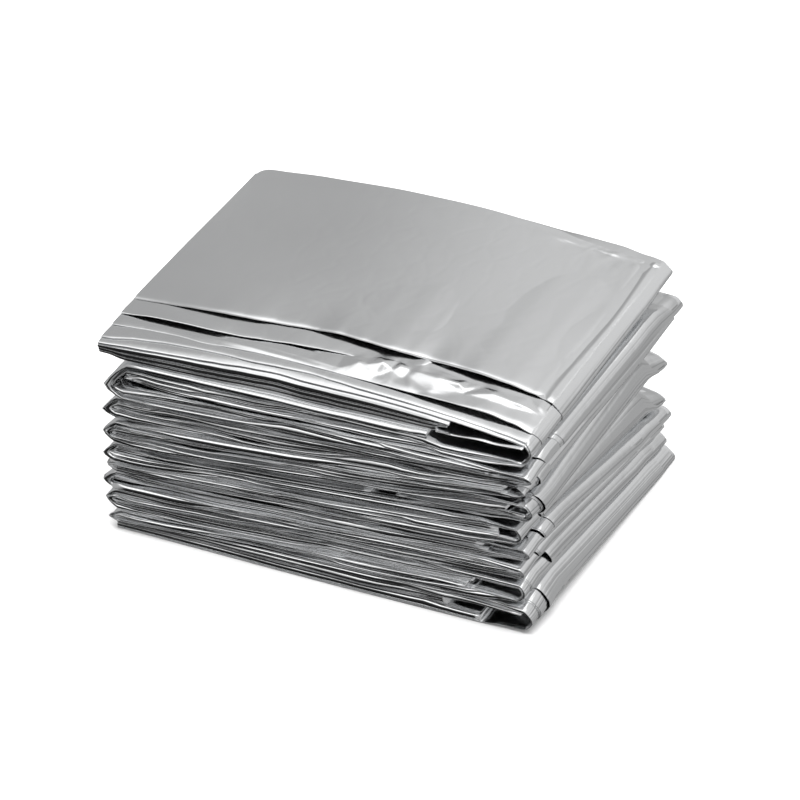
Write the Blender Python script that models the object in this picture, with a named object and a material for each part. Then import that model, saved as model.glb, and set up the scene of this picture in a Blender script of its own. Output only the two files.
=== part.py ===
"""Emergency foil blanket, folded to its packed size.

One rectangle of thin metallised film is folded lengthwise into a strip of sixteen layers, and the
strip is folded back and forth into eighteen panels, each 117 mm long. The strip is modelled as one
soft band that runs to and fro through the pack. Its layers don't end level: on the side that is
outermost at the right hand folds they stand back from the front edge in four steps, which show on
top of the pack and as sleeves round each right hand fold.

The pack stands on the plane z = 0 with the origin under its middle. The panels run along X, their
layered front edges face -Y, and +Z is up. The tables are in millimetres.
"""

from collections import namedtuple
from math import cos, pi, sin, sqrt

import bmesh
import bpy

MM = 0.001

# The strip and the pack
SHEET_WIDTH = 1400.0
LAYERS_IN_STRIP = 16
STRIP_WIDTH = SHEET_WIDTH / LAYERS_IN_STRIP
PANELS = 18
PACK_HEIGHT = 56.0
THICKEST_PANEL = 3.4
THICKEST_TOP_PANEL = 4.6
CLEARANCE = 0.55
BACK_EDGE = STRIP_WIDTH / 2
FRONT_EDGE = -STRIP_WIDTH / 2
EDGE_ROUND = 0.8

# The tables measure X and Y from the middle of the folded strip. The pack's overall box, with all
# that sticks out of it, has its middle here, and the part's origin lies under that.
BOX_MIDDLE = (1.26, 1.89)

# Where the heights given for the left hand and the right hand folds hold, along X
LEFT_HAND = -50.0
RIGHT_HAND = 52.0

# The stations across the strip, along Y, at which the right hand heights are given
RIGHT_STATIONS = (FRONT_EDGE, -30.0, 0.0, 28.0, 42.0)

# The folds on the right hand, from the top down. reach: how far along X the fold comes at the front
# and at the back. run: how long the bend is. The next five columns are the height of the fold's
# underside at each of RIGHT_STATIONS. wedge: the gap above the fold at the back corner, where the
# folds fan apart. hollow: the least gap inside the fold.
RightFold = namedtuple(
    "RightFold", "reach_front reach_back run front shoulder middle back corner wedge hollow"
)
RIGHT_FOLDS = (
    RightFold(58.2, 57.8, 3.6, 48.0, 49.9, 50.3, 52.2, 53.0, 0.0, 2.2),
    RightFold(58.3, 61.2, 2.8, 43.7, 43.8, 44.0, 44.6, 44.4, 4.2, 0.5),
    RightFold(56.4, 58.8, 3.0, 39.4, 37.4, 38.4, 38.4, 40.6, 0.5, 0.6),
    RightFold(58.8, 57.0, 3.4, 32.2, 31.0, 28.6, 28.0, 27.4, 10.4, 1.0),
    RightFold(56.2, 57.0, 2.8, 25.8, 26.6, 22.6, 17.8, 15.6, 8.8, 0.5),
    RightFold(57.6, 58.8, 2.6, 20.6, 21.2, 17.4, 12.8, 11.6, 0.4, 0.5),
    RightFold(56.8, 56.8, 2.4, 15.4, 16.6, 13.8, 10.0, 7.7, 1.2, 0.5),
    RightFold(57.2, 57.8, 2.8, 8.9, 10.4, 7.4, 5.9, 4.4, 0.6, 0.6),
    RightFold(59.2, 60.3, 3.8, 0.0, 0.0, 0.0, 0.0, 0.0, 0.8, 1.6),
)

# The folds on the left hand, from the top down. reach: how far along X the tip comes. run: how long
# the bend is. tip: the height of the tip. front and back: the height of the underside at each edge.
# The first row is the free end that lies on top of the pack, and the last the one that lies under it.
LeftFold = namedtuple("LeftFold", "reach run tip front back hollow")
LEFT_FOLDS = (
    LeftFold(-59.2, 0.0, 53.0, 50.6, 51.4, 0.0),
    LeftFold(-57.1, 5.4, 42.6, 40.1, 41.6, 1.6),
    LeftFold(-58.5, 4.0, 34.6, 32.6, 33.4, 0.6),
    LeftFold(-57.8, 3.0, 28.9, 26.2, 26.3, 0.5),
    LeftFold(-57.6, 2.6, 22.2, 20.6, 20.9, 0.5),
    LeftFold(-57.3, 2.4, 18.9, 17.0, 16.2, 0.4),
    LeftFold(-58.2, 2.6, 13.8, 12.2, 11.5, 0.5),
    LeftFold(-58.7, 3.6, 8.9, 6.1, 6.6, 0.6),
    LeftFold(-56.8, 3.0, 3.3, 2.3, 2.5, 0.4),
    LeftFold(-55.4, 0.0, 1.0, 0.0, 0.0, 0.0),
)

# The front edges of the layers on top of the pack: how far each stands back from the front edge, by
# place along X. lip: the same for the rolled edge at the top of the front face. gap: how far the
# uppermost layer stands up off the next one, along its edge.
TopEdges = namedtuple("TopEdges", "along first second third fourth lip gap")
TOP_EDGES = (
    TopEdges(-58.0, 19.5, 12.7, 8.2, 2.6, 1.2, 0.1),
    TopEdges(-46.0, 20.0, 13.2, 8.6, 4.5, 1.3, 0.4),
    TopEdges(-36.0, 20.0, 13.7, 7.9, 5.1, 1.6, 1.0),
    TopEdges(-26.0, 20.5, 13.5, 8.2, 5.2, 2.2, 0.6),
    TopEdges(-14.0, 21.9, 14.5, 8.3, 5.2, 3.4, 0.1),
    TopEdges(-2.0, 22.1, 15.6, 8.0, 5.4, 2.7, 0.5),
    TopEdges(8.0, 20.6, 17.0, 7.6, 4.5, 3.0, 1.4),
    TopEdges(20.0, 20.7, 17.0, 7.4, 4.2, 3.1, 0.9),
    TopEdges(31.0, 20.4, 16.0, 7.6, 4.0, 2.8, 1.6),
    TopEdges(44.0, 20.4, 16.8, 7.8, 3.6, 2.6, 0.9),
    TopEdges(55.0, 19.5, 16.6, 6.2, 3.0, 2.2, 0.1),
)

# How much of a panel's thickness the uppermost layer takes, and each step below it
LIP_SHARE = 0.13
STEP_SHARE = 0.11
GAP_SHARE = 0.06
STEP_SLOPE = 0.3
LIP_REACH = 4.0
LIP_HOLLOW = 3.0

# On the panels inside the pack the steps press almost flat, away from the right hand folds
PRESSED_STEPS = 0.12
SLEEVE_STEPS = 0.6
SLEEVE_RUN = 9.0
SLEEVE_EDGES = (16.0, 11.0, 5.6, 2.0)
SLEEVE_SHIFT = 1.6

# Unevenness of the front edges
FRONT_SHIFT = 0.7
FRONT_GROOVE = 0.6

# How far the back edges bow out between the corners. upper and lower: the uppermost layer of the
# pack and the other layers of its panel, which show beyond it near the right hand corner. others: the
# panels below, which bow less and less towards the lowest.
BackEdges = namedtuple("BackEdges", "along upper lower others")
BACK_EDGES = (
    BackEdges(-58.0, 1.6, 1.6, 0.6),
    BackEdges(-40.0, 2.8, 2.8, 1.7),
    BackEdges(-16.0, 3.6, 3.6, 2.9),
    BackEdges(6.0, 4.1, 4.1, 3.2),
    BackEdges(24.0, 3.8, 4.2, 2.7),
    BackEdges(32.0, 2.6, 4.6, 2.2),
    BackEdges(42.0, 1.9, 4.8, 1.5),
    BackEdges(50.0, 1.2, 3.8, 0.8),
    BackEdges(58.0, 0.6, 2.2, 0.2),
)
LEAST_BOW_SHARE = 0.3

# The free end on top: its back corner is round, and it slants back and undercuts
CORNER_ROUND = 3.2
CORNER_STATIONS = (0.0, 0.3, 1.0, 2.6)
END_SLANT = 3.0
END_UNDERCUT = 1.6

# How far the panel on top arches up between its ends, where its layers fan out towards the front
ARCH = 2.6
ARCH_SPAN = 60.0

# The crown of the upper face, highest near the back edge
CROWN = 2.6
CROWN_PLACE = (-4.0, 46.0)
CROWN_SPAN = (62.0, 50.0)

# Stations along the strip
PANEL_STATIONS = 6
FOLD_STATIONS = 5

FILM_COLOUR = (0.78, 0.79, 0.80, 1.0)
FILM_ROUGHNESS = 0.2


def clear_scene():
    for obj in list(bpy.data.objects):
        bpy.data.objects.remove(obj, do_unlink=True)


def eased(share):
    share = min(1.0, max(0.0, share))
    return share * share * (3.0 - 2.0 * share)


def between(value, places, values):
    """The value at this place, eased from each listed place to the next."""
    if value <= places[0]:
        return values[0]
    for start, end, low, high in zip(places, places[1:], values, values[1:]):
        if value <= end:
            return low + (high - low) * eased((value - start) / (end - start))
    return values[-1]


def right_fold_heights(fold, y):
    """The underside and the top of a right hand fold at this place across the strip."""
    row = RIGHT_FOLDS[fold]
    low = between(y, RIGHT_STATIONS, (row.front, row.shoulder, row.middle, row.back, row.corner))
    if fold == 0:
        return low, PACK_HEIGHT
    above, _ = right_fold_heights(fold - 1, y)
    calm = CLEARANCE
    return low, above - between(y, RIGHT_STATIONS, (calm, calm, calm, calm, max(calm, row.wedge)))


def left_fold_heights(fold, y):
    """The underside and the top of a left hand fold at this place across the strip."""
    row = LEFT_FOLDS[fold]
    share = (y - FRONT_EDGE) / STRIP_WIDTH
    low = row.front + (row.back - row.front) * share
    if fold == 0:
        return low, PACK_HEIGHT
    above, _ = left_fold_heights(fold - 1, y)
    return low, above - CLEARANCE


def panel_in_fold(low, high, upper, hollow, thickest):
    """The underside and the top of the upper or the lower panel of a fold."""
    thick = min(thickest, (high - low - hollow) / 2)
    return (high - thick, high) if upper else (low, low + thick)


def panel_thickest(panel):
    return THICKEST_TOP_PANEL if panel == 0 else THICKEST_PANEL


def crown_across(y):
    """The crown's share of its full height here, in the middle of the pack's length."""
    return max(0.0, 1.0 - ((y - CROWN_PLACE[1]) / CROWN_SPAN[1]) ** 2) ** 2


def arch(x, y):
    """How far the panel on top arches up. The arch gives way to the crown towards the back."""
    along = max(0.0, 1.0 - ((x - CROWN_PLACE[0]) / ARCH_SPAN) ** 2)
    return ARCH * along * (1.0 - crown_across(y))


def panel_heights(panel, x, y):
    """The underside and the top of a panel, numbered from the top down."""
    fold = panel // 2
    low, high = right_fold_heights(fold, y)
    upper = panel % 2 == 0
    right = panel_in_fold(low, high, upper, RIGHT_FOLDS[fold].hollow, panel_thickest(panel))
    fold = (panel + 1) // 2
    low, high = left_fold_heights(fold, y)
    if panel == 0:
        left = (max(low, high - THICKEST_TOP_PANEL), high)
    elif panel == PANELS - 1:
        left = (low, high)
    else:
        left = panel_in_fold(low, high, not upper, LEFT_FOLDS[fold].hollow, THICKEST_PANEL)
    share = min(1.0, max(0.0, (x - LEFT_HAND) / (RIGHT_HAND - LEFT_HAND)))
    low, high = (a + (b - a) * share for a, b in zip(left, right))
    return low, high + (arch(x, y) if panel == 0 else 0.0)


def right_reach(fold, y):
    row = RIGHT_FOLDS[fold]
    return row.reach_front + (row.reach_back - row.reach_front) * eased((y - FRONT_EDGE) / STRIP_WIDTH)


def crowned(x, y, z):
    """The pack's upper face is a little crowned; the crown dies out towards its base."""
    across = ((x - CROWN_PLACE[0]) / CROWN_SPAN[0]) ** 2 + ((y - CROWN_PLACE[1]) / CROWN_SPAN[1]) ** 2
    return z * (1.0 + CROWN / PACK_HEIGHT * max(0.0, 1.0 - across) ** 2)


def panel_point(panel, x, y, depth):
    """A point of a panel. depth runs from 0 on the stepped side to 1 on the plain side."""
    low, high = panel_heights(panel, x, y)
    share = depth if panel % 2 == 0 else 1.0 - depth
    return x, y, crowned(x, y, high + (low - high) * share)


def bend(entry, run, low, high, lean, angle):
    """A point of a bend, as (x, z): a half ellipse whose tip leans up or down."""
    middle, half = (low + high) / 2, (high - low) / 2
    lean = max(-0.48 * half, min(0.48 * half, lean))
    return entry + run * sin(angle), middle + half * cos(angle) + lean * sin(angle) ** 2


def fold_point(panel, y, depth, turn):
    """A point of the fold that follows a panel. turn runs from 0 at this panel to 1 at the next."""
    right = panel % 2 == 0
    if right:
        row, tip_x = RIGHT_FOLDS[panel // 2], right_reach(panel // 2, y)
        entry, sign, tip = tip_x - row.run, 1.0, None
    else:
        row = LEFT_FOLDS[(panel + 1) // 2]
        entry, sign, tip = row.reach + row.run, -1.0, row.tip
    inner_high, high = panel_heights(panel, entry, y)
    low, inner_low = panel_heights(panel + 1, entry, y)
    lean = 0.0 if tip is None else tip - (low + high) / 2
    thick = (high - inner_high + inner_low - low) / 2
    inner_run = max(0.35, row.run - thick)
    angle = pi * turn
    outer = bend(entry, sign * row.run, low, high, lean, angle)
    inner = bend(entry, sign * inner_run, inner_low, inner_high, lean * 0.2, angle)
    share = depth if right else 1.0 - depth
    x, z = (a + (b - a) * share for a, b in zip(outer, inner))
    return x, y, crowned(x, y, z)


def steps_at(panel, x):
    """How far the steps and the lip stand back here, their height, and the uppermost layer's lift."""
    if panel == 0:
        places = [row.along for row in TOP_EDGES]
        *edges, lip, gap = (between(x, places, column) for column in zip(*[r[1:] for r in TOP_EDGES]))
        low, high = panel_heights(0, x, FRONT_EDGE)
        return edges, lip, 1.0 - arch(x, FRONT_EDGE) / (high - low), gap
    shift = SLEEVE_SHIFT * sin(2.4 * panel)
    edges = [edge + shift * edge / SLEEVE_EDGES[0] for edge in SLEEVE_EDGES]
    if panel == PANELS - 1:
        pressed = 0.0
    else:
        pressed = PRESSED_STEPS
    share = pressed + (SLEEVE_STEPS - pressed) * eased(1.0 - (RIGHT_HAND - x) / SLEEVE_RUN)
    return edges, 0.0, share, 0.0


def front_edge(panel, x):
    return FRONT_EDGE + FRONT_SHIFT * (sin(1.9 * panel + 0.6) + 0.4 * sin(0.045 * x + panel))


def back_edges(panel, x):
    """How far back the panel's stepped side and its other layers come here."""
    places = [row.along for row in BACK_EDGES]
    columns = zip(*[row[1:] for row in BACK_EDGES])
    upper, lower, others = (between(x, places, column) for column in columns)
    if panel > 0:
        edge = BACK_EDGE + others * (1.0 - (1.0 - LEAST_BOW_SHARE) * panel / (PANELS - 1))
        return edge, edge
    into = min(CORNER_ROUND, x - LEFT_FOLDS[0].reach)
    cut = CORNER_ROUND - sqrt(CORNER_ROUND ** 2 - (CORNER_ROUND - into) ** 2)
    return BACK_EDGE + upper - cut, BACK_EDGE + lower - cut


def profile(panel, x):
    """The strip's section here as (y, depth) pairs, from the back edge over the stepped side."""
    edges, set_back, share, gap = steps_at(panel, x)
    low, high = panel_heights(panel, x, FRONT_EDGE)
    thick = high - low
    front = front_edge(panel, x)
    upper_back, back = back_edges(panel, x)
    first, second, third, fourth = (front + edge for edge in edges)
    lip = LIP_SHARE * share
    floor = lip + GAP_SHARE * share
    step = STEP_SHARE * share
    lift = 0.6 * gap / thick
    drop = floor + 0.4 * gap / thick
    hollow = LIP_HOLLOW * min(1.0, gap)
    front_depth = drop + 3 * step
    rest = 1.0 - front_depth
    return (
        (back, 0.3),
        (upper_back - EDGE_ROUND, 0.0),
        (35.0, 0.0),
        (27.0, 0.0),
        (4.0, 0.0),
        (first + LIP_REACH, -0.2 * lift),
        (first, 0.01 - lift),
        (first - 0.1, lip - lift),
        (first - 0.2 + hollow, (lip - lift + drop) / 2),
        (first - 0.5, drop),
        (second, drop),
        (second - STEP_SLOPE, drop + step),
        (third, drop + step),
        (third - STEP_SLOPE, drop + 2 * step),
        (fourth, drop + 2 * step),
        (fourth - STEP_SLOPE, front_depth),
        (front + set_back, front_depth + 0.12 * rest),
        (front + max(FRONT_GROOVE, 0.5 * set_back), front_depth + 0.45 * rest),
        (front + 0.1, front_depth + 0.85 * rest),
        (front + EDGE_ROUND, 1.0),
        (-22.0, 1.0),
        (4.0, 1.0),
        (27.0, 1.0),
        (35.0, 1.0),
        (back - EDGE_ROUND, 1.0),
        (back, 0.7),
    )


def panel_start(panel, y, depth):
    """Where a panel begins at its left hand end: at its fold, or at the free end on top."""
    left = LEFT_FOLDS[(panel + 1) // 2]
    if panel == 0:
        return left.reach + END_SLANT * (y - FRONT_EDGE) / STRIP_WIDTH + END_UNDERCUT * depth
    return left.reach + left.run


def panel_shares(panel):
    """The stations along a panel, as shares of its length, in the order in which the strip runs."""
    if panel == 0:
        start, end = LEFT_FOLDS[0].reach, RIGHT_FOLDS[0].reach_front - RIGHT_FOLDS[0].run
        places = [start + step for step in CORNER_STATIONS] + [row.along for row in TOP_EDGES[1:-1]]
        return [(place - start) / (end - start) for place in places] + [1.0]
    shares = [station / (PANEL_STATIONS - 1) for station in range(PANEL_STATIONS)]
    return shares if panel % 2 == 0 else shares[::-1]


def panel_sections(panel):
    """The sections along one panel, in the order in which the strip runs."""
    fold = RIGHT_FOLDS[panel // 2]
    start = panel_start(panel, FRONT_EDGE, 0.0)
    sections = []
    for share in panel_shares(panel):
        section = []
        for y, depth in profile(panel, start + (fold.reach_front - fold.run - start) * share):
            first, last = panel_start(panel, y, depth), right_reach(panel // 2, y) - fold.run
            section.append(panel_point(panel, first + (last - first) * share, y, depth))
        sections.append(section)
    return sections


def fold_sections(panel):
    """The sections round the fold that follows a panel, between the two panels' own end sections."""
    right = panel % 2 == 0
    x = RIGHT_HAND if right else LEFT_HAND
    ends = profile(panel, x), profile(panel + 1, x)
    sections = []
    for station in range(1, FOLD_STATIONS):
        turn = station / FOLD_STATIONS
        section = []
        for (y_a, depth_a), (y_b, depth_b) in zip(*ends):
            y, depth = y_a + (y_b - y_a) * turn, depth_a + (depth_b - depth_a) * turn
            section.append(fold_point(panel, y, depth, turn))
        sections.append(section)
    return sections


def placed(point):
    x, y, z = point
    return (x - BOX_MIDDLE[0]) * MM, (y - BOX_MIDDLE[1]) * MM, z * MM


def film_material():
    material = bpy.data.materials.new("metallised_film")
    material.use_nodes = True
    shader = material.node_tree.nodes["Principled BSDF"]
    shader.inputs["Base Color"].default_value = FILM_COLOUR
    shader.inputs["Metallic"].default_value = 1.0
    shader.inputs["Roughness"].default_value = FILM_ROUGHNESS
    material.diffuse_color = FILM_COLOUR
    return material


def build_blanket():
    sections = []
    for panel in range(PANELS):
        sections += panel_sections(panel)
        if panel < PANELS - 1:
            sections += fold_sections(panel)
    shape = bmesh.new()
    rings = [[shape.verts.new(placed(point)) for point in section] for section in sections]
    for ring, following in zip(rings, rings[1:]):
        for i, corner in enumerate(ring):
            before = i - 1
            shape.faces.new((ring[before], corner, following[i], following[before]))
    shape.faces.new(rings[0][::-1])
    shape.faces.new(rings[-1])
    bmesh.ops.triangulate(shape, faces=shape.faces[:])
    bmesh.ops.recalc_face_normals(shape, faces=shape.faces[:])
    mesh = bpy.data.meshes.new("foil_blanket")
    shape.to_mesh(mesh)
    shape.free()
    mesh.shade_smooth()
    mesh.set_sharp_from_angle(angle=pi / 6)
    mesh.materials.append(film_material())
    blanket = bpy.data.objects.new("foil_blanket", mesh)
    bpy.context.scene.collection.objects.link(blanket)


clear_scene()
build_blanket()
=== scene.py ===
"""An emergency foil blanket, folded to its packed size, and the stage it stands on.

Laid out as an add-on: its sizes and colours are property groups, and each piece has an operator.
The film is one sheet. It is folded lengthwise into a strip of sixteen layers, and the strip is folded
back and forth into eighteen panels. Tables are in millimetres, measured from the middle of the folded
strip along X (the panels) and Y (the layered front edges face -Y), and from the table top along Z.
"""

from collections import namedtuple
from math import pi, radians

import bpy
import numpy as np
from bpy.props import FloatProperty, FloatVectorProperty, PointerProperty
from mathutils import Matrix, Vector
from mathutils.geometry import delaunay_2d_cdt


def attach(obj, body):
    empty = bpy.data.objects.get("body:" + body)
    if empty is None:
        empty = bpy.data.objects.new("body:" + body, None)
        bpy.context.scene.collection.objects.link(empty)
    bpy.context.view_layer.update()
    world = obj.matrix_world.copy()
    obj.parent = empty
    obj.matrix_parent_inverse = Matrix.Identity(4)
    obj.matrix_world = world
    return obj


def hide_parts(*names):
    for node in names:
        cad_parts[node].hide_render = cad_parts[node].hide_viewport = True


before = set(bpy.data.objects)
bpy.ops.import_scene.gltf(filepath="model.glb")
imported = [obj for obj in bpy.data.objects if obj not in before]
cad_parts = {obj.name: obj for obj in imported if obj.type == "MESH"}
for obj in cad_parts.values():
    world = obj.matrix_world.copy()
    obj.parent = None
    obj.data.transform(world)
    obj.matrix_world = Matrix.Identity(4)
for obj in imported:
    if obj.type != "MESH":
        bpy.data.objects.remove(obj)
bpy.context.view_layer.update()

bl_info = {
    "name": "Folded Foil Blanket",
    "version": (1, 0, 0),
    "blender": (4, 5, 0),
    "location": "3D View > Sidebar > Foil Blanket",
    "description": "Builds a folded emergency foil blanket and a plain studio for it",
    "category": "Object",
}

MM = 0.001


def rows(fields, *table):
    """A table whose columns have these names."""
    row = namedtuple("Row", fields)
    return tuple(row(*numbers) for numbers in table)


# ---------------- the folded strip

SHEET_WIDTH = 1400.0
SHEET_LENGTH = 2100.0
LAYERS = 16
STRIP_WIDTH = SHEET_WIDTH / LAYERS
PANELS = 18
PACK_HEIGHT = 56.0
THICKEST_PANEL = 3.4
THICKEST_TOP_PANEL = 4.6
CLEARANCE = 0.55
BACK_EDGE = STRIP_WIDTH / 2
FRONT_EDGE = -STRIP_WIDTH / 2
BOX_MIDDLE = (1.26, 1.89)
LEFT_HAND = -50.0
RIGHT_HAND = 52.0

# The folds on the right hand, from the top down, as in the solids: how far along X each comes at the
# front and the back, the length of its bend, the height of its underside at RIGHT_STATIONS across the
# strip, the gap above its back corner, and the least gap inside it.
RIGHT_STATIONS = (FRONT_EDGE, -30.0, 0.0, 28.0, 42.0)
RIGHT_FOLDS = rows(
    "reach_front reach_back run front shoulder middle back corner wedge hollow",
    (58.2, 57.8, 3.6, 48.0, 49.9, 50.3, 52.2, 53.0, 0.0, 2.2),
    (58.3, 61.2, 2.8, 43.7, 43.8, 44.0, 44.6, 44.4, 4.2, 0.5),
    (56.4, 58.8, 3.0, 39.4, 37.4, 38.4, 38.4, 40.6, 0.5, 0.6),
    (58.8, 57.0, 3.4, 32.2, 31.0, 28.6, 28.0, 27.4, 10.4, 1.0),
    (56.2, 57.0, 2.8, 25.8, 26.6, 22.6, 17.8, 15.6, 8.8, 0.5),
    (57.6, 58.8, 2.6, 20.6, 21.2, 17.4, 12.8, 11.6, 0.4, 0.5),
    (56.8, 56.8, 2.4, 15.4, 16.6, 13.8, 10.0, 7.7, 1.2, 0.5),
    (57.2, 57.8, 2.8, 8.9, 10.4, 7.4, 5.9, 4.4, 0.6, 0.6),
    (59.2, 60.3, 3.8, 0.0, 0.0, 0.0, 0.0, 0.0, 0.8, 1.6),
)

# How far the tips of some of these folds hang at the back
HANGING_TIPS = {3: 0.8, 7: 1.0, 8: 1.6}

# The folds on the left hand: the height of each tip, and of its underside at the front and the back
LEFT_FOLDS = rows(
    "reach run tip front back hollow",
    (-59.2, 0.0, 53.0, 50.0, 51.4, 0.0),
    (-57.1, 5.4, 42.6, 40.1, 41.6, 1.6),
    (-58.5, 4.0, 34.6, 32.6, 33.4, 0.6),
    (-57.8, 3.0, 28.9, 26.2, 26.3, 0.5),
    (-57.6, 2.6, 22.2, 20.6, 20.9, 0.5),
    (-57.3, 2.4, 18.9, 17.0, 16.2, 0.4),
    (-58.2, 2.6, 13.8, 12.2, 11.5, 0.5),
    (-58.7, 3.6, 8.9, 6.1, 6.6, 0.6),
    (-56.8, 3.0, 3.3, 2.3, 2.5, 0.4),
    (-55.4, 0.0, 1.0, 0.0, 0.0, 0.0),
)

# The front edges of the layers on top: how far each stands back from the front. lip: the same for the
# rolled edge at the top of the front face. under_...: how far the film stands open under an edge.
TOP_EDGES = rows(
    "along first third fourth lip under_first under_second under_third",
    (-58.0, 19.5, 8.0, 2.4, 0.4, 0.0, 0.1, 0.0),
    (-50.0, 19.7, 8.6, 4.0, 0.9, 0.0, 0.7, 0.0),
    (-42.0, 19.9, 8.6, 4.9, 1.3, 0.3, 0.9, 0.0),
    (-34.0, 20.1, 7.8, 5.1, 1.7, 0.5, 0.8, 0.0),
    (-27.0, 20.4, 8.1, 5.2, 2.2, 0.4, 0.4, 0.1),
    (-20.0, 21.2, 8.4, 4.8, 3.0, 0.1, 0.2, 0.0),
    (-12.0, 21.9, 8.3, 5.2, 3.4, 0.1, 0.3, 0.0),
    (-4.0, 22.0, 8.0, 5.5, 2.8, 0.7, 0.4, 0.1),
    (3.0, 21.4, 7.8, 4.9, 2.8, 0.9, 0.3, 0.0),
    (10.0, 20.8, 7.6, 4.4, 3.0, 1.1, 0.1, 0.1),
    (15.5, 20.9, 7.5, 4.3, 3.1, 0.9, 0.0, 0.2),
    (20.8, 21.2, 7.4, 4.2, 3.1, 0.45, 0.0, 0.3),
    (27.0, 21.1, 7.3, 4.1, 3.0, 0.8, 0.0, 0.7),
    (34.0, 20.8, 7.3, 3.9, 2.8, 1.2, 0.0, 1.0),
    (42.0, 20.4, 7.4, 3.6, 2.6, 1.1, 0.0, 1.1),
    (49.0, 20.0, 7.0, 3.2, 2.3, 0.6, 0.0, 0.6),
    (55.0, 19.2, 6.0, 2.6, 1.9, 0.1, 0.0, 0.1),
)
# The second edge runs over the crest of the creased film and under the first edge
SECOND_EDGE = (
    (-58.0, 12.7), (-50.0, 12.7), (-42.0, 12.5), (-34.0, 12.3), (-27.0, 12.7), (-20.0, 13.6),
    (-12.0, 14.5), (-4.0, 15.2), (2.0, 15.6), (5.5, 15.3), (8.0, 15.2), (11.3, 15.3), (13.9, 14.7),
    (15.5, 16.0), (18.2, 16.3), (20.0, 18.2), (22.0, 22.0), (26.0, 24.5), (44.0, 24.5), (49.0, 22.0),
    (55.0, 19.4),
)
# The layers at the front of the panel on top, from its upper face down: the top, the underside and
# the droop of each edge
TOP_LIPS = rows(
    "top bottom droop",
    (0.0, 0.32, 0.36),
    (0.42, 0.80, 0.16),
    (0.90, 1.28, 0.20),
    (1.36, 1.72, 0.16),
    (1.80, 2.55, 0.34),
)

# The stepped edges of the sleeves on the right hand, a row for each fold from the top down: how far
# the edges stand back at the fold, how far they shift round it, and how far the outermost stands off
SLEEVES = rows(
    "first second third fourth shift flare",
    (18.0, 17.6, 7.8, 2.4, 0.3, 0.0),
    (18.9, 17.2, 9.1, 2.0, 0.9, 0.0),
    (7.9, 7.5, 7.1, 1.6, 0.3, 0.18),
    (6.4, 6.0, 5.6, 1.4, 0.5, 0.20),
    (12.6, 12.2, 11.8, 1.8, 0.8, 0.02),
    (14.7, 9.8, 9.4, 1.8, 0.6, 0.0),
    (9.8, 9.4, 9.0, 1.6, 0.7, 0.0),
    (15.2, 3.9, 3.5, 1.2, 1.1, 0.0),
    (8.6, 4.4, 4.0, 1.2, 0.4, 0.12),
)
SLEEVE_RUN = 9.0
SLEEVE_SHARE = 0.6
PRESSED_SHARE = 0.12

# The creased film between the steps on top: the corners of its facets, measured along the pack and
# back from the front, and how far each stands up
CREASES = (
    (1.6, 10.1, 0.10), (5.5, 13.5, 0.95), (7.6, 13.9, 0.70), (11.3, 15.1, 1.35), (10.9, 11.6, 0.30),
    (4.4, 8.2, 0.00), (9.4, 8.3, 0.00), (11.8, 11.3, 0.12), (13.9, 14.4, 0.50), (15.8, 9.3, 0.03),
    (17.6, 12.5, 0.25), (19.3, 13.4, 0.50), (15.5, 15.8, 1.15), (18.2, 15.9, 0.75), (20.7, 15.8, 1.00),
    (26.4, 15.5, 1.20), (31.5, 15.2, 1.15), (26.2, 9.3, 0.05), (16.1, 7.5, 0.00), (31.7, 14.0, 0.55),
    (30.0, 10.0, 0.05), (33.0, 14.5, 0.80), (40.5, 15.5, 1.05), (47.3, 14.8, 0.85), (54.4, 15.9, 0.45),
    (33.5, 12.9, 0.35), (40.8, 13.1, 0.60), (46.6, 13.3, 0.45), (53.5, 14.5, 0.25), (18.6, 16.7, 0.75),
    (20.4, 18.6, 0.80), (25.9, 18.4, 0.75), (23.1, 16.8, 0.75), (29.4, 17.1, 0.70), (21.5, 19.2, 0.65),
    (27.3, 19.5, 0.50), (32.8, 18.6, 0.35), (37.1, 18.4, 0.30), (41.3, 18.1, 0.55), (48.9, 18.9, 0.35),
    (54.4, 19.7, 0.35), (8.5, 19.4, 0.45), (14.4, 18.9, 0.50), (1.0, 16.0, 0.20), (3.4, 14.8, 0.55),
    (-2.0, 8.0, 0.00), (22.0, 7.5, 0.00), (30.0, 7.3, 0.00), (38.0, 7.3, 0.00), (46.0, 7.2, 0.00),
    (54.0, 6.4, 0.00), (-6.0, 11.0, 0.00), (-6.0, 20.0, 0.00), (2.0, 24.0, 0.30), (20.0, 26.0, 0.70),
    (36.0, 26.0, 0.30), (50.0, 26.0, 0.20), (62.0, 12.0, 0.10), (62.0, 22.0, 0.10), (62.0, 5.0, 0.00),
    (28.0, 4.0, 0.00), (0.0, 4.0, 0.00), (20.0, 36.0, 0.00), (62.0, 36.0, 0.00), (-6.0, 36.0, 0.00),
)

# How far the back edges bow out: the uppermost layer, the rest of its panel, and the panels below
BACK_EDGES = rows(
    "along upper lower others",
    (-58.0, 1.6, 1.6, 0.6),
    (-40.0, 2.8, 2.8, 1.7),
    (-16.0, 3.6, 3.6, 2.9),
    (6.0, 4.1, 4.1, 3.2),
    (24.0, 3.8, 4.2, 2.7),
    (32.0, 2.6, 4.6, 2.2),
    (42.0, 1.9, 4.8, 1.5),
    (50.0, 1.5, 3.8, 0.8),
    (58.0, 1.6, 2.6, 0.2),
)
LEAST_BOW_SHARE = 0.3
CORNER_ROUND = 3.2
END_SLANT = 3.0
END_UNDERCUT = 0.3
CROWN = 2.6
CROWN_PLACE = (-4.0, 46.0)
CROWN_SPAN = (62.0, 50.0)
ARCH = 2.6
ARCH_SPAN = 60.0

# ---------------- the front edges of the layers

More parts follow.
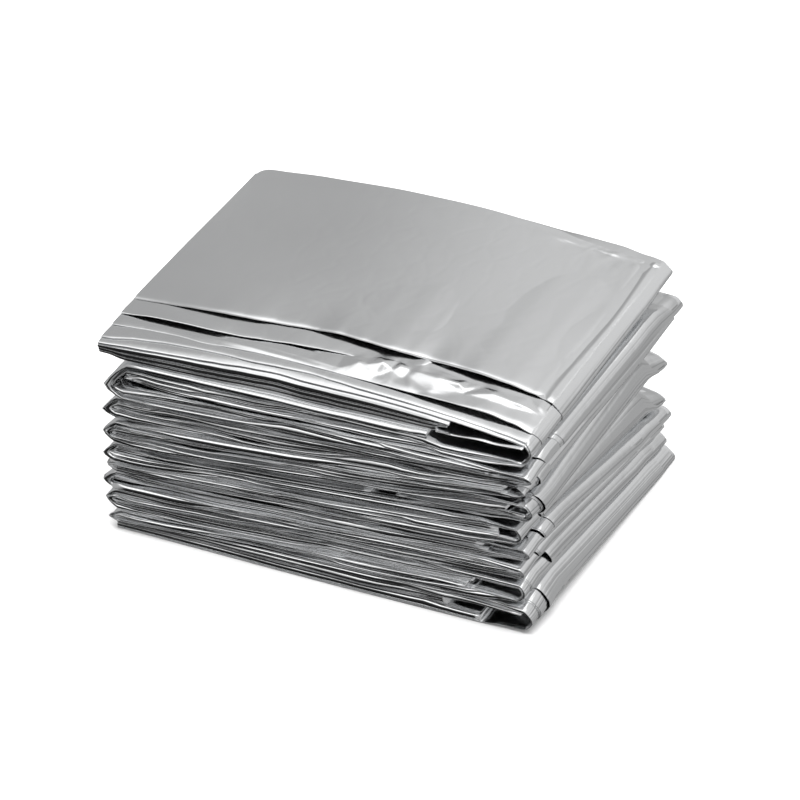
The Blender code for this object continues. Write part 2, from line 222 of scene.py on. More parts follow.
# Each panel shows five front edges of its layers, here called lips, numbered from the top down.
# share: how much of the panel's thickness the lip takes between start and end. lean: how far its nose
# hangs, up to 1 for a slope that faces up and forward, or -1 and less for a flat upright edge.
LIPS = rows(
    "panel lip start end share lean",
    (0, 2, -64, 34, 0.34, -1.0), (0, 3, -64, 34, 0.30, -1.0), (0, 4, -64, 31, 0.24, -1.0),
    (1, 0, -52, 29, 0.26, 0.9), (1, 0, 27, 72, 0.40, -1.0), (1, 1, 27, 72, 0.24, -1.0),
    (1, 3, -57, -30, 0.40, 0.5), (1, 4, 28, 55, 0.22, 0.9), (2, 1, 14, 52, 0.26, 0.9),
    (2, 4, -50, -10, 0.20, 0.5), (3, 3, -55, -40, 0.22, 0.6), (4, 0, -54, -34, 0.24, 0.8),
    (4, 0, 28, 50, 0.34, 0.9), (4, 4, 18, 36, 0.22, 0.8), (4, 2, -10, 10, 0.22, 0.6),
    (5, 3, -57, -36, 0.34, 0.8), (5, 0, 20, 36, 0.30, 0.9), (7, 4, -50, 8, 0.16, 0.7),
    (8, 0, -20, 45, 0.40, -1.0), (9, 1, -46, -4, 0.30, 0.8), (9, 0, 22, 53, 0.40, 0.9),
    (10, 0, 4, 30, 0.26, 0.8), (12, 2, -10, 50, 0.42, -1.0), (13, 2, -57, -20, 0.28, 0.8),
    (13, 3, -5, 40, 0.20, 0.5), (14, 2, -55, 10, 0.42, -1.0), (14, 4, -45, 0, 0.16, 0.8),
    (15, 0, 30, 50, 0.24, 0.9), (15, 3, 0, 48, 0.22, 0.7), (16, 2, -64, 24, 0.40, -1.0),
    (17, 0, -64, 34, 0.12, -1.0), (17, 1, -64, 34, 0.08, -1.0), (17, 2, -64, 72, 0.62, -1.6),
    (17, 3, -64, 72, 0.10, -1.0), (17, 4, -64, 72, 0.12, -1.0),
)

# Dark openings under a front edge of a panel, between start and end, as a share of its thickness
OPENINGS = rows(
    "panel lip start end share",
    (1, 1, -52, -10, 0.26), (2, 2, 40, 58, 0.34), (4, 1, -26, -12, 0.30),
    (3, 4, -40, -32, 0.24), (7, 2, 14, 22, 0.30), (7, 3, 38, 58, 0.34),
    (9, 2, 2, 12, 0.26), (10, 3, 34, 53, 0.24), (11, 0, -52, 6, 0.22),
    (13, 4, -10, 52, 0.20), (15, 0, -54, -1, 0.44), (17, 1, -20, 30, 0.22),
)

# Where two panels stand apart at the front: gap n lies under panel n. size: how far it is kept open.
# above: the share of the rest of the room that the panel above the gap fills.
PANEL_GAPS = rows(
    "gap start end size above",
    (0, 28, 70, 1.6, 0.5), (1, -54, -41, 1.1, 0.8), (5, -56, -44, 1.2, 0.5),
    (10, -54, 6, 0.6, 0.5), (13, 30, 52, 0.8, 0.5), (16, 33, 70, 1.4, 0.5),
)

# Layers that end further back than the front, from lip first to lip last, as stepped, dark hollows
RECESSES = rows(
    "panel first last start end depth",
    (0, 2, 2, 34.6, 70.0, 18.0), (0, 3, 3, 34.2, 70.0, 19.0), (1, 0, 0, 29.2, 70.0, 18.0),
    (1, 1, 1, 28.6, 70.0, 14.0), (1, 3, 3, -80.0, -52.4, 10.0), (1, 4, 4, -80.0, -51.6, 10.0),
    (2, 0, 0, -80.0, -52.8, 10.0), (2, 4, 4, 46.5, 70.0, 9.0), (3, 0, 0, 48.5, 70.0, 8.0),
    (4, 4, 4, 50.5, 70.0, 7.0), (5, 0, 0, 49.5, 70.0, 7.0), (5, 3, 4, 52.0, 67.0, 6.0),
    (6, 4, 4, 51.0, 70.0, 6.0), (7, 2, 2, 14.0, 21.0, 6.0), (8, 4, 4, 49.0, 70.0, 6.0),
    (10, 4, 4, 44.5, 70.0, 7.0), (11, 0, 0, 46.0, 70.0, 7.0), (13, 0, 0, 47.0, 70.0, 6.0),
    (14, 4, 4, 42.0, 70.0, 8.0), (15, 0, 0, 40.5, 70.0, 8.0), (16, 4, 4, 35.2, 70.0, 18.0),
    (17, 0, 0, 35.2, 70.0, 18.0), (17, 1, 3, 44.0, 70.0, 18.0),
)
# The length over which a layer's end steps back, and the one over which an edge or opening eases in
RAGGED = 0.5
LIP_EASE = 6.0
OPENING_EASE = 7.0
# The least share of the panel's thickness that a layer with a recess takes beside it
LEAST_RECESS_SHARE = 0.25

# The strip's eight pairs of layers: three are pressed under the stepped edges, and five show lips
PAIRS = 8
PRESSED_PAIRS = 3
VISIBLE_LIPS = 5
# These two lips are thin and stand back
HIDDEN_LIPS = (1, 3)
HIDDEN_SHARE = 0.3
HIDDEN_SET_BACK = 1.1


def eased(share):
    share = np.clip(share, 0.0, 1.0)
    return share * share * (3.0 - 2.0 * share)


def between(value, places, values):
    """The value at this place, eased from each listed place to the next."""
    places, values = np.asarray(places, float), np.asarray(values, float)
    value = np.asarray(value, float)
    row = np.clip(np.searchsorted(places, value, side="right") - 1, 0, len(places) - 2)
    share = eased((value - places[row]) / (places[row + 1] - places[row]))
    return values[row] + (values[row + 1] - values[row]) * share


def along(table, name, x):
    """The named column of this table at x."""
    return between(x, [row.along for row in table], [getattr(row, name) for row in table])


def rows_for(panel, table):
    return [row for row in table if row.panel == panel]


def blended(before, after, share):
    return before * (1 - share) + after * share


def window(x, start, end, ease):
    return eased((x - start) / ease) * eased((end - x) / ease)


def wander(x, seed, longest, shortest, waves=7):
    """A smooth uneven line with a spread of about 1, from waves of random length and phase."""
    rng = np.random.default_rng(seed)
    lengths = np.geomspace(longest, shortest, waves) * rng.uniform(0.8, 1.25, waves)
    sizes = (lengths / longest) ** 0.5
    phases = rng.uniform(0, 2 * pi, waves)
    line = sum(s * np.sin(2 * pi * x / w + p) for s, w, p in zip(sizes, lengths, phases))
    return line / np.sqrt((sizes**2).sum() / 2)


# ---------------- heights of the panels


def right_low(fold, y):
    row = RIGHT_FOLDS[fold]
    return between(y, RIGHT_STATIONS, (row.front, row.shoulder, row.middle, row.back, row.corner))


def right_high(fold, y):
    if fold == 0:
        return np.full_like(y, PACK_HEIGHT)
    calm = CLEARANCE
    wedge = max(calm, RIGHT_FOLDS[fold].wedge)
    return right_low(fold - 1, y) - between(y, RIGHT_STATIONS, (calm, calm, calm, calm, wedge))


def left_low(fold, y):
    row = LEFT_FOLDS[fold]
    return row.front + (row.back - row.front) * (y - FRONT_EDGE) / STRIP_WIDTH


def left_high(fold, y):
    return np.full_like(y, PACK_HEIGHT) if fold == 0 else left_low(fold - 1, y) - CLEARANCE


def half_of_fold(low, high, upper, hollow, thickest):
    thick = np.minimum(thickest, (high - low - hollow) / 2)
    return (high - thick, high) if upper else (low, low + thick)


def crown_across(y):
    return np.maximum(0.0, 1.0 - ((y - CROWN_PLACE[1]) / CROWN_SPAN[1]) ** 2) ** 2


def arch(x, y):
    """How far the panel on top arches up between its ends, until the crown takes over."""
    rise = np.maximum(0.0, 1.0 - ((x - CROWN_PLACE[0]) / ARCH_SPAN) ** 2)
    return ARCH * rise * (1.0 - crown_across(y))


def panel_heights(panel, x, y):
    """The underside and the top of a panel, as in the solids."""
    fold, upper = panel // 2, panel % 2 == 0
    thickest = THICKEST_TOP_PANEL if panel == 0 else THICKEST_PANEL
    right = half_of_fold(
        right_low(fold, y), right_high(fold, y), upper, RIGHT_FOLDS[fold].hollow, thickest
    )
    fold = (panel + 1) // 2
    low, high = left_low(fold, y), left_high(fold, y)
    if panel == 0:
        left = (np.maximum(low, high - THICKEST_TOP_PANEL), high)
    elif panel == PANELS - 1:
        left = (low, high)
    else:
        left = half_of_fold(low, high, not upper, LEFT_FOLDS[fold].hollow, THICKEST_PANEL)
    share = np.clip((x - LEFT_HAND) / (RIGHT_HAND - LEFT_HAND), 0.0, 1.0)
    low, high = (a + (b - a) * share for a, b in zip(left, right))
    return low, high + (arch(x, y) if panel == 0 else 0.0)


LEAST_GAP = 0.07
MOST_FILL = 2.8


def room_fill(gap, x, room):
    """How far the panels above and below a gap spread into the room between them."""
    size = LEAST_GAP + 0.22 * np.maximum(0.0, wander(x, 900 + gap, 70, 9) - 0.6)
    above = 0.5
    for row in PANEL_GAPS:
        if row.gap == gap:
            size = np.maximum(size, row.size * window(x, row.start, row.end, 8.0))
            above = row.above
    inside = window(x, LEFT_HAND - 7.0, RIGHT_HAND + 1.0, 5.0)
    fill = np.clip(room - size, 0.0, MOST_FILL) * inside
    return fill * above, fill * (1.0 - above)


def film_heights(panel, x, y):
    """The underside and the top of a panel's film, which fills most of the room between panels."""
    low, high = panel_heights(panel, x, y)
    if panel > 0:
        high_fill = room_fill(panel - 1, x, panel_heights(panel - 1, x, y)[0] - high)[1]
    if panel < PANELS - 1:
        low = low - room_fill(panel, x, low - panel_heights(panel + 1, x, y)[1])[0]
    return low, high + (high_fill if panel > 0 else 0.0)


def right_reach(fold, y):
    row = RIGHT_FOLDS[fold]
    return row.reach_front + (row.reach_back - row.reach_front) * eased((y - FRONT_EDGE) / STRIP_WIDTH)


def crowned(x, y, z):
    across = ((x - CROWN_PLACE[0]) / CROWN_SPAN[0]) ** 2 + ((y - CROWN_PLACE[1]) / CROWN_SPAN[1]) ** 2
    return z * (1.0 + CROWN / PACK_HEIGHT * np.maximum(0.0, 1.0 - across) ** 2)


# ---------------- the section of the strip

# How far the front and back edges of the layers are out of line
SIDE_EDGE = 0.7
FOLD_POINTS = 5
FINE_FOLD_POINTS = 9

# The places along a layer, measured from its front fold and from its back edge. The fine ones, for the
# panel on top, include the plain ones.
PLAIN_NEAR = {0: (1.8, 8.0), LAYERS - 1: (1.6, 6.0, 26.0)}
PLAIN_FAR = {0: (0.0, 2.2, 5.5, 8.5, 13.0, 19.0, 26.0), LAYERS - 1: (3.0, 12.0)}
FINE_NEAR = {
    0: (0.4, 0.9, 1.8, 3.2, 5.2, 8.0, 12.0, 17.0, 23.0, 30.0, 38.0),
    1: (1.2, 4.0),
    2: (0.6, 1.2, 2.6, 4.0, 5.4, 8.0),
    3: (1.2, 4.0),
    4: tuple(np.arange(0.4, 12.4, 0.6).round(1)) + (13.4, 15.0, 18.0),
    5: (1.2, 4.0),
    6: (0.8, 1.6, 2.8, 4.0, 6.0),
    8: (0.5, 1.1, 1.6, 2.6, 3.8, 6.0),
}
FINE_FAR = {0: (0.0, 0.5, 1.2, 1.7, 2.2, 2.8, 3.6, 5.5, 8.5, 13.0, 19.0, 26.0)}


def layer_stations(layer, fine):
    near = PLAIN_NEAR.get(layer, (4.0,) if layer < 6 else (1.6, 6.0))
    far = PLAIN_FAR.get(layer, (9.0,))
    if fine:
        near, far = FINE_NEAR.get(layer, near), FINE_FAR.get(layer, far)
    return near, far


def front_edge(panel, x):
    return FRONT_EDGE + SIDE_EDGE * (np.sin(1.9 * panel + 0.6) + 0.4 * np.sin(0.045 * x + panel))


def back_edges(panel, x):
    upper, lower, others = (along(BACK_EDGES, name, x) for name in ("upper", "lower", "others"))
    if panel > 0:
        edge = BACK_EDGE + others * (1.0 - (1.0 - LEAST_BOW_SHARE) * panel / (PANELS - 1))
        return edge, edge
    into = np.minimum(CORNER_ROUND, x - LEFT_FOLDS[0].reach)
    cut = CORNER_ROUND - np.sqrt(np.maximum(0.0, CORNER_ROUND**2 - (CORNER_ROUND - into) ** 2))
    return BACK_EDGE + upper - cut, BACK_EDGE + lower - cut


def lip_order(panel, lip):
    """The pair of layers that has this visible lip, counted from the top down."""
    return lip + PRESSED_PAIRS if panel % 2 == 0 else PAIRS - 1 - lip


def top_edge(name, x):
    """How far a stepped edge of the panel on top stands back."""
    if name == "second":
        return between(x, *zip(*SECOND_EDGE))
    return along(TOP_EDGES, name, x)


def steps(panel, x):
    """How far the four stepped edges stand back, and their share of the full steps."""
    if panel == 0:
        return [top_edge(name, x) for name in ("first", "second", "third", "fourth")], np.ones_like(x)
    row = SLEEVES[panel // 2]
    shift = row.shift if panel % 2 else -row.shift
    edges = [edge + shift + 0.0 * x for edge in row[:4]]
    pressed = 0.0 if panel == PANELS - 1 else PRESSED_SHARE
    share = pressed + (SLEEVE_SHARE - pressed) * eased(1.0 - (RIGHT_HAND - x) / SLEEVE_RUN)
    return edges, share


def visible_lips(panel, x):
    """For each of the five lips at the front: its share, lean and set-back, and the gap under it."""
    shares, leans, set_back, gaps = [], [], [], []
    for number in range(VISIBLE_LIPS):
        seed = 40 * panel + number
        hidden = number in HIDDEN_LIPS
        shares.append(np.exp(wander(x, seed, 240, 60)) * (HIDDEN_SHARE if hidden else 1.0))
        leans.append(-0.4 + 1.3 * wander(x, seed + 1000, 160, 40))
        behind = HIDDEN_SET_BACK if hidden else 0.0
        set_back.append(0.35 + 0.35 * wander(x, seed + 2000, 110, 24) + behind)
        gaps.append(0.10 * np.maximum(0.0, wander(x, seed + 3000, 90, 22) - 0.7))
    shares, leans, set_back, gaps = (np.array(part) for part in (shares, leans, set_back, gaps))
    shares /= shares.sum(0)
    for row in rows_for(panel, LIPS):
        on = window(x, row.start, row.end, LIP_EASE)
        shares[row.lip] += (row.share - shares[row.lip]) * on
        leans[row.lip] = blended(leans[row.lip], row.lean, on)
        set_back[row.lip] = set_back[row.lip] * (1 - on)
    for row in rows_for(panel, OPENINGS):
        gaps[row.lip] += (row.share - gaps[row.lip]) * window(x, row.start, row.end, OPENING_EASE)
    for row in rows_for(panel, RECESSES):
        if panel > 1 and row.first == row.last:
            on = LEAST_RECESS_SHARE * window(x, row.start - LIP_EASE, row.end + LIP_EASE, LIP_EASE)
            shares[row.first] = np.maximum(shares[row.first], on)
    gaps[-1] *= 0.0
    return shares, leans, set_back, gaps


Lips = namedtuple("Lips", "fronts uppers lowers leans rolls droops")


def lips_of(panel, x, thick):
    """The front edges of the eight pairs of layers, from the top down.

    fronts: how far each stands back. uppers and lowers: the depths of its two layers, as shares of the
    panel. leans: how far its nose hangs. rolls: how round it is. droops: how far it bends down.
    """
    edges, share = steps(panel, x)
    shares, leaning, set_back, gaps = visible_lips(panel, x)
    lips = Lips(*([None] * PAIRS for _ in Lips._fields))
    lip, step = 0.13 * share, 0.11 * share
    floor = lip + 0.03 * share
    for pair in range(PRESSED_PAIRS):
        if panel == 0:
            row = TOP_LIPS[pair]
            lips.uppers[pair], lips.lowers[pair] = row.top / thick, row.bottom / thick
            lips.droops[pair] = row.droop / thick
        else:
            lips.uppers[pair] = floor + step * (pair - 1) if pair else 0.0 * x
            lips.lowers[pair] = lips.uppers[pair] + (step * 0.9 if pair else lip)
            lips.droops[pair] = 0.2 * (lips.lowers[pair] - lips.uppers[pair])
        lips.fronts[pair] = edges[pair]
        lips.leans[pair] = np.full_like(x, 0.3)
        lips.rolls[pair] = np.full_like(x, 0.9)
    front_depth = floor + 2 * step

    if panel == 0:
        front_depth = TOP_LIPS[3].top / thick
        room = thick - TOP_LIPS[3].top
        shares[0] = (TOP_LIPS[4].top - TOP_LIPS[3].top) / room
        shares[1] = (TOP_LIPS[4].bottom - TOP_LIPS[4].top) / room
        rest = 1.0 - shares[0] - shares[1]
        shares[2:] *= rest / (shares[2:] + gaps[2:]).sum(0)
        gaps[2:] *= rest / np.maximum(1e-6, (shares[2:] + gaps[2:]).sum(0))
        gaps[:2] = 0.0
        leaning[0], leaning[1] = 0.1, 0.6 - 0.5 * eased((x - 44.0) / 10.0)
    total = shares.sum(0) + gaps.sum(0)
    shares, gaps = shares / total, gaps / total
    if panel == 0:
        lip_back = top_edge("lip", x)
        set_back[0], set_back[1] = edges[3], lip_back
        for number, part in ((2, 0.1), (3, 0.25), (4, 0.4)):
            set_back[number] = 0.1 * set_back[number] + part + 0.55 * lip_back
    for row in rows_for(panel, RECESSES):
        on = window(x, row.start, row.end, RAGGED)
        for number in range(row.first, row.last + 1):
            set_back[number] = blended(set_back[number], row.depth, on)
            leaning[number] = blended(leaning[number], -1.0, on)
    tops = np.cumsum(shares + gaps, axis=0) - shares - gaps
    for number in range(VISIBLE_LIPS):
        pair = lip_order(panel, number)
        top, bottom = tops[number], tops[number] + shares[number] * 0.96
        if panel % 2:
            top, bottom = 1.0 - bottom, 1.0 - top
        lips.uppers[pair] = front_depth + top * (1.0 - front_depth)
        lips.lowers[pair] = front_depth + bottom * (1.0 - front_depth)
        lips.fronts[pair] = np.maximum(0.0, set_back[number])
        lean = np.clip(leaning[number] - 1.1 * eased((np.abs(x) - 46.0) / 8.0), -1.0, 1.0)
        hanging = np.maximum(0.0, lean) - 0.15 * np.maximum(0.0, -lean)
        lips.leans[pair] = hanging * (-1.0 if panel % 2 else 1.0)
        lips.rolls[pair] = 0.26 + 1.0 * np.maximum(0.0, lean) - 0.18 * np.maximum(0.0, -lean)
        lips.droops[pair] = 0.25 * (lips.lowers[pair] - lips.uppers[pair])
        if panel == 0 and number < 2:
            lips.droops[pair] = TOP_LIPS[3 + number].droop / thick
    if panel == 0:
        self_standing(x, lips, thick)
    return lips


# The last layer of the panel on top crosses the hollow beside its stepped ends
CROSSING_START = 31.0
CROSSING = ((30.5, 5.2), (34.0, 5.0), (45.0, 3.8), (57.0, 2.4))


def self_standing(x, lips, thick):
    """The lowest edge of the panel on top rises across the hollow on the right hand."""
    places, depths = zip(*CROSSING)
    on = window(x, CROSSING_START, 80.0, RAGGED)
    depth = between(np.clip(x, places[0], places[-1]), places, depths) / thick
    pair = lip_order(0, VISIBLE_LIPS - 1)
    standing = Lips(
        fronts=0.8, uppers=depth, lowers=depth + 0.2 / thick, leans=0.0, rolls=0.2, droops=0.0
    )
    for edges, value in zip(lips, standing):
        edges[pair] = blended(edges[pair], value, on)


def rest_depth(layer):
    return 0.0 if layer == 0 else 1.0 if layer == LAYERS - 1 else (layer + 0.5) / LAYERS


def settled(layer, y, front, depth):
    """The depth of a layer at y, which settles from its lip's depth to its place in the pile."""
    share = eased((y - front - 3.0) / 22.0)
    return depth + (rest_depth(layer) - depth) * share


def fold_arc(edge, upper, lower, lean, radius, points):
    """The rolled edge that joins two layers, as lists of (y, depth) along it."""
    middle, half = (upper + lower) / 2, (lower - upper) / 2
    arc = []
    for angle in np.linspace(0.0, pi, points):
        nose = 0.8 * lean * half * np.sin(angle) ** 2
        arc.append((edge + radius * (1.0 - np.sin(angle)), middle - half * np.cos(angle) + nose))
    return arc


def droop_length(panel, pair):
    return 3.6 if panel == 0 and pair == PRESSED_PAIRS + 1 else 2.6 if panel == 0 else 1.6


def section(panel, x, fine=False):
    """The film's path across the strip at each x.

    Returns its places along Y, its depths, the layer of each point, and a name for each point, so that
    a fine section can be joined to a plain one.
    """
    thick = np.subtract(*film_heights(panel, x, np.full_like(x, FRONT_EDGE))[::-1])
    lips = lips_of(panel, x, thick)
    front = front_edge(panel, x)
    upper_back, back = back_edges(panel, x)
    turns = FINE_FOLD_POINTS if fine else FOLD_POINTS
    path, layers, names = [], [], []

    def add(y, depth, layer, *name):
        path.append((y, depth + 0.0 * x))
        layers.append(layer)
        names.append(name)

    for pair in range(PAIRS):
        edge = front + lips.fronts[pair]
        upper, lower, droop = lips.uppers[pair], lips.lowers[pair], lips.droops[pair]
        droops = (droop, 0.0 * x) if panel % 2 == 0 else (0.0 * x, -droop)
        top, bottom = upper + droops[0], lower + droops[1]
        radius = np.clip(lips.rolls[pair] * (bottom - top) * thick, 0.05, 1.1)
        for layer, depth, sag in ((2 * pair, upper, droops[0]), (2 * pair + 1, lower, droops[1])):
            uneven = 0.4 + 0.5 * np.sin(1.7 * layer + panel) ** 2
            end = (upper_back if layer == 0 else back) - SIDE_EDGE * uneven
            near, far = layer_stations(layer, fine)
            points = [("far", distance, end - distance, 0.0) for distance in far]
            for distance in near[::-1]:
                sagging = np.clip(1.0 - distance / droop_length(panel, pair), 0.0, 1.0) ** 2
                points.append(("near", distance, edge + radius + distance, sagging))
            for kind, distance, y, sagging in points if layer % 2 == 0 else points[::-1]:
                add(y, settled(layer, y, edge, depth) + sag * sagging, layer, kind, layer, distance)
            if layer % 2 == 0:
                arc = fold_arc(edge, top, bottom, lips.leans[pair], radius, turns)
                for number, (y, depth_here) in enumerate(arc):
                    share = number / (turns - 1)
                    add(y, depth_here, layer + (share >= 0.5), "lip", layer, share)
        if pair < PAIRS - 1:
            turn = back - SIDE_EDGE * 0.8 * np.sin(2.3 * pair + 1.3 * panel) ** 2
            a, b = rest_depth(layer), rest_depth(layer + 1)
            for number, (inset, depth) in enumerate(((0.12, a), (0.0, (a + b) / 2), (0.12, b))):
                add(turn - inset, depth, layer + number // 2, "turn", layer, number)
        else:
            add(back - 0.2, 1.0, layer, "end", layer, 0)
    ys, depths = (np.stack(np.broadcast_arrays(*part), 1) for part in zip(*path))
    return ys, depths, np.array(layers)[None, :] + 0 * ys, names


# ---------------- placing the sections


def panel_start(panel, y, depth):
    left = LEFT_FOLDS[(panel + 1) // 2]
    if panel == 0:
        slant = END_SLANT * (y - FRONT_EDGE) / STRIP_WIDTH
        return left.reach - 0.4 + slant + END_UNDERCUT * eased((depth - 0.5) / 0.5)
    return left.reach + left.run


def ridge(distance, width):
    return np.exp(-((distance / width) ** 2))


def saw(place, rise=0.22):
    """A sharp fold line for each whole number: a long even slope, and a short one back."""
    share = place - np.floor(place)
    return np.where(share < 1.0 - rise, share / (1.0 - rise), (1.0 - share) / rise)


def crumple(x, y, seed, size):
    """Sharp small ridges of creased film, up to about 1 high, most of whose slopes face the front."""
    rng = np.random.default_rng(seed)
    height = np.zeros_like(x)
    for wave in range(5):
        angle = rng.uniform(-0.75, 0.75)
        length = size * rng.uniform(0.6, 1.5)
        bend = 0.3 * np.sin(2 * pi * x / (length * 2.3) + wave) + rng.uniform(0, 1)
        height += saw((y * np.cos(angle) + x * np.sin(angle)) / length + bend) * length / size / 5
    return height


def facets(x, y, corners):
    """The height of flat facets stretched between corners, each given as (x, y, height)."""
    places = [Vector(corner[:2]) for corner in corners]
    found, _, triangles, origins, _, _ = delaunay_2d_cdt(places, [], [], 0, 1e-4)
    heights = [corners[origin[0]][2] for origin in origins]
    out = np.zeros_like(x)
    for a, b, c in triangles:
        (xa, ya), (xb, yb), (xc, yc) = found[a], found[b], found[c]
        area = (yb - yc) * (xa - xc) + (xc - xb) * (ya - yc)
        share_a = ((yb - yc) * (x - xc) + (xc - xb) * (y - yc)) / area
        share_b = ((yc - ya) * (x - xc) + (xa - xc) * (y - yc)) / area
        share_c = 1.0 - share_a - share_b
        inside = (share_a >= 0) & (share_b >= 0) & (share_c >= 0)
        height = share_a * heights[a] + share_b * heights[b] + share_c * heights[c]
        out = np.where(inside, height, out)
    return out


def lifted(x, y, layers):
    """How far the layers of the panel on top are lifted off those below, along their front edges."""
    lift = np.zeros_like(x)
    for pair, (name, reach) in enumerate((("first", 19.0), ("second", 9.0), ("third", 6.0))):
        edge = FRONT_EDGE + top_edge(name, x)
        open_by = along(TOP_EDGES, "under_" + name, x) * eased(1.0 - (y - edge) / reach)
        lift = lift + np.where(layers < 2 * pair + 2, 0.75 * open_by, 0.0)
        lift = lift - np.where((layers >= 2 * pair + 2) & (layers < 2 * pair + 4), 0.25 * open_by, 0.0)
    return lift


# How high the crinkles stand at the back of the right-hand end of a panel's upper face
CRINKLED_ENDS = {2: 1.0, 4: 0.5, 6: 0.8, 8: 0.5, 14: 0.4}
# How much higher the creased film stands than CREASES gives it
CREASE_RELIEF = 1.25


def dressing(panel, x, y, layers):
    """How far creases and dents lift the film, in millimetres."""
    if panel > 0:
        size = CRINKLED_ENDS.get(panel, 0.0)
        to_end = right_reach(panel // 2, y) - RIGHT_FOLDS[panel // 2].run - x
        where = window(y, 0.0, 70.0, 24.0) * eased((x - 30.0) / 16.0) * eased(to_end / 2.5)
        return np.where(layers < 2, size * where * (crumple(x, y, 11 + panel, 7.0) - 0.7), 0.0)
    from_front = y - FRONT_EDGE
    lift = lifted(x, y, layers)
    creased = CREASE_RELIEF * facets(x, from_front, CREASES) * eased((55.4 - x) / 3.0)
    streaks = 0.16 * saw((from_front + 0.07 * x) / 2.3) * window(x, -40.0, 4.0, 8.0)
    lift = lift + np.where(layers == 4, creased + streaks * eased((from_front - 8.4) / 1.5), 0.0)
    riding = np.maximum(0.0, creased - 0.45) * window(x, 2.0, 27.0, 3.0)
    lift = lift + np.where((layers == 2) | (layers == 3), riding, 0.0)
    line = right_reach(0, y) - RIGHT_FOLDS[0].run - 0.9 + 0.5 * np.sin(y / 9.0)
    crease = ridge(x - line, 0.6) - 0.7 * ridge(x - line + 1.9, 0.9)
    corner = window(x, 26.0, 62.0, 12.0) * window(y, 34.0, 60.0, 8.0)
    hem = ridge(y - 44.0, 0.5) - 0.8 * ridge(y - 42.9, 0.7)
    hem = hem * (0.6 + 0.4 * np.sin(x / 2.9 + 1.5 * np.sin(x / 6.1)))
    skin = 0.22 * crease + 0.4 * corner * (crumple(x, y, 11, 7.0) - 0.5)
    skin = skin + 0.13 * hem * window(x, 18.0, 61.0, 8.0)
    return lift + np.where(layers == 0, skin + 0.10 * np.sin(x / 17.0) * np.sin(y / 14.0 + 0.4), 0.0)


def placed_panel(panel, shares, fine=False):
    """A panel's sections at these shares of its length, and the names of their points."""
    fold = RIGHT_FOLDS[panel // 2]
    start = panel_start(panel, FRONT_EDGE, 0.0)
    x = start + (fold.reach_front - fold.run - start) * shares
    ys, depths, layers, names = section(panel, x, fine)
    first = panel_start(panel, ys, depths) + 0.0 * ys
    last = right_reach(panel // 2, ys) - fold.run
    xs = first + (last - first) * shares[:, None]
    low, high = film_heights(panel, xs, ys)
    down = depths if panel % 2 == 0 else 1.0 - depths
    zs = crowned(xs, ys, high + (low - high) * down)
    return np.stack([xs, ys, zs + dressing(panel, xs, ys, layers)], -1), names


# How pointed the bends are: that of the panel on top, the others on the right, and those on the left
SHARP_TOP, SHARP_RIGHT, SHARP_LEFT = 0.7, 0.45, 0.65
LEAST_INNER_RUN = 0.35


def bend(entry, run, low, high, lean, angle, crease, sharp):
    """The place on a bend between low and high; it comes to a point as sharp goes from 0 to 1."""
    middle, half = (low + high) / 2, (high - low) / 2
    lean = np.clip(lean, -0.7 * half, 0.7 * half)
    height = np.cos(angle)
    out = np.sin(angle) * (1.0 - sharp) + (1.0 - np.abs(height) ** 1.15) * sharp
    return entry + run * out * crease, middle + half * height + lean * out


def placed_bend(panel, turns):
    """The sections round the bend that follows a panel."""
    right = panel % 2 == 0
    side = np.array([RIGHT_HAND + 2.4 if right else LEFT_HAND - 2.6])
    (y_a, depth_a, layers, _), (y_b, depth_b, _, _) = section(panel, side), section(panel + 1, side)
    out = []
    for turn in turns:
        y, depth = (y_a + (y_b - y_a) * turn)[0], (depth_a + (depth_b - depth_a) * turn)[0]
        if right:
            row = RIGHT_FOLDS[panel // 2]
            entry, sign = right_reach(panel // 2, y) - row.run, 1.0
        else:
            row = LEFT_FOLDS[(panel + 1) // 2]
            entry, sign = np.full_like(y, row.reach + row.run), -1.0
        inner_high, high = film_heights(panel, entry, y)
        low, inner_low = film_heights(panel + 1, entry, y)
        if right:
            lean = -HANGING_TIPS.get(panel // 2, 0.0) * eased((y + 5.0) / 40.0)
        else:
            lean = row.tip - (low + high) / 2
        thick = (high - inner_high + inner_low - low) / 2
        inner_run = np.maximum(LEAST_INNER_RUN, row.run - thick)
        angle = pi * turn
        soft = 1.0 + 0.05 * np.cos(3.0 * angle + 0.8 * np.sin(y / 21.0 + panel)) * np.sin(angle)
        if right:
            soft = soft + 0.03 * wander(y + 2.0 * angle, 60 + panel, 60, 16)
            sleeve = SLEEVES[panel // 2]
            off = eased(1.0 - (y - FRONT_EDGE - sleeve.first) / 9.0)
            depth = depth - np.where(layers[0] < 2, sleeve.flare * off * np.sin(angle), 0.0)
        near = eased(1.0 - (y - FRONT_EDGE) / 7.0)
        ripple = 0.4 * near * (wander(y, 70 + panel, 9, 2) - 1.2)
        ripple = 0.45 * np.sin(2.7 * layers[0] + 1.9 * panel) + ripple
        uneven = 0.0 if right else ripple * np.sin(angle) ** 2
        sharp = (SHARP_TOP if panel == 0 else SHARP_RIGHT) if right else SHARP_LEFT
        outer = bend(entry, sign * row.run, low, high, lean, angle, soft, sharp)
        inner = bend(entry, sign * inner_run, inner_low, inner_high, lean * 0.2, angle, 1.0, sharp)
        share = depth if right else 1.0 - depth
        x, z = (a + (b - a) * share for a, b in zip(outer, inner))
        out.append(np.stack([x + uneven, y, crowned(x, y, z)], -1))
    return np.array(out)


PANEL_STATIONS = 26
TOP_STATIONS = 96
RIGHT_BEND_STATIONS = 9
LEFT_BEND_STATIONS = 8


